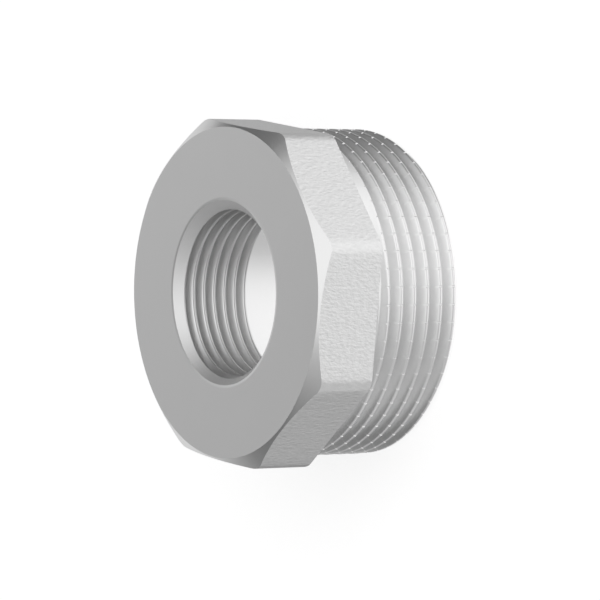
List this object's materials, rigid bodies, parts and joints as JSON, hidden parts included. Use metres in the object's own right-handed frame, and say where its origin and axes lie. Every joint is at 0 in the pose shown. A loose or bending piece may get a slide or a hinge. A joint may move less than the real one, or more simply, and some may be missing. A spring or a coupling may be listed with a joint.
{
  "type": "reducing bushing",
  "caption": "Metal pipe bushing with an octagonal head, an outer pipe thread and a smaller inner pipe thread in the head.",
  "frame": {"origin": "centre of the end of the outer thread, on which the bushing stands", "axes": "+Z along the axis, out of the head; one flat of the head faces -Y"},
  "size_m": [0.0486, 0.0486, 0.025],
  "materials": {
    "bushing_body": "satin nickel plate"
  },
  "bodies": {
    "root": {"bushing_body": "bushing_body"}
  },
  "joints": []
}
